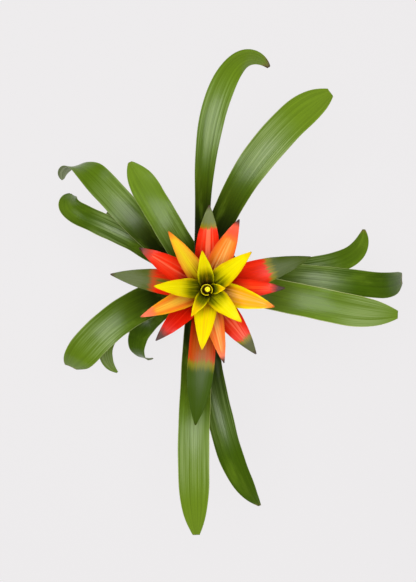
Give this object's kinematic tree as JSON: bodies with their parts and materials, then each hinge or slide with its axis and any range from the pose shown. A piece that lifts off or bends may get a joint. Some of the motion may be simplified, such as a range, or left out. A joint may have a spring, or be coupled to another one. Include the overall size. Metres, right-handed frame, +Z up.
{
  "type": "potted bromeliad",
  "caption": "Bromeliad with long strap leaves round an upright stalk that carries a star of coloured bracts, growing in a round tapered pot with a rim band.",
  "frame": {"origin": "middle of the pot's base, on the surface that the pot stands on", "axes": "+Z up the pot and the plant; +X and +Y level, +Y towards the longest northern leaf, seen from above with +X to the right"},
  "size_m": [0.4237, 0.5433, 0.417],
  "materials": {
    "pot_plastic": "satin",
    "potting_mix": "matte",
    "stem_green": "satin",
    "leaf_green": "satin",
    "bract_yellow": "satin",
    "bract_orange": "satin",
    "bract_red": "satin"
  },
  "bodies": {
    "root": {"pot": "pot_plastic", "potting_mix": "potting_mix", "stem": "stem_green", "leaf_south": "leaf_green", "leaf_north": "leaf_green", "leaf_inner_east": "leaf_green", "leaf_north_east": "leaf_green", "leaf_north_west_inner": "leaf_green", "leaf_west": "leaf_green", "leaf_south_east": "leaf_green", "leaf_north_west": "leaf_green", "leaf_east": "leaf_green", "leaf_west_north_west": "leaf_green", "leaf_south_west": "leaf_green", "leaf_east_north_east": "leaf_green", "leaf_low_north_west": "leaf_green", "leaf_low_west": "leaf_green", "stalk_bract_1": "leaf_green", "stalk_bract_2": "leaf_green", "stalk_bract_3": "leaf_green", "stalk_bract_4": "leaf_green", "heart_bract": "bract_yellow", "flower_bud": "bract_yellow", "bract_01": "bract_yellow", "bract_02": "bract_yellow", "bract_03": "bract_yellow", "bract_04": "bract_yellow", "bract_05": "bract_yellow", "bract_06": "bract_yellow", "bract_07": "bract_yellow", "bract_08": "bract_yellow", "bract_09": "bract_orange", "bract_10": "bract_orange", "bract_11": "bract_orange", "bract_12": "bract_orange", "bract_13": "bract_red", "bract_14": "bract_red", "bract_15": "bract_red", "bract_16": "bract_red", "bract_17": "bract_red", "bract_18": "bract_red", "bract_19": "bract_red", "bract_20": "bract_red"}
  },
  "joints": []
}
